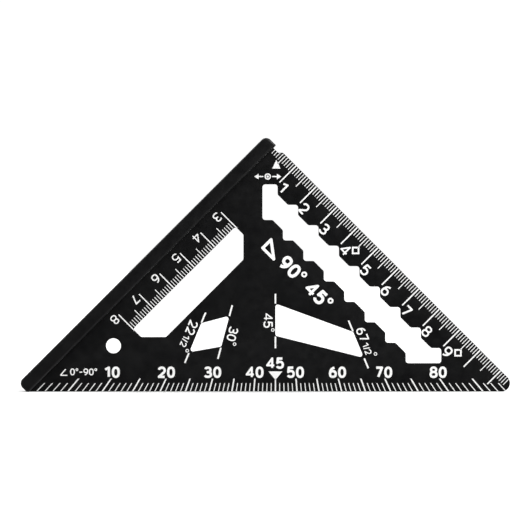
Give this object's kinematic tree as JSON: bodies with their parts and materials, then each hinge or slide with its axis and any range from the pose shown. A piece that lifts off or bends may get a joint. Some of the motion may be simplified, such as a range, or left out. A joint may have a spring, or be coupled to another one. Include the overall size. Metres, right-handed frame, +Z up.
{
  "type": "speed square",
  "caption": "Small right-angled layout square with a wide fence along one leg, a pencil-notched slot, marking windows and a degree scale on its long edge.",
  "frame": {"origin": "middle of the long edge that the square stands on, in the blade's mid plane", "axes": "+X along the long edge towards the acute tip, +Y through the blade away from the graduated face, +Z up towards the pivot corner"},
  "size_m": [0.1688, 0.02, 0.0874],
  "materials": {
    "black_aluminium": "satin black, powder coated over a die casting",
    "white_marking": "matt white marking paint"
  },
  "bodies": {
    "root": {"blade": "black_aluminium", "fence": "black_aluminium"}
  },
  "joints": []
}
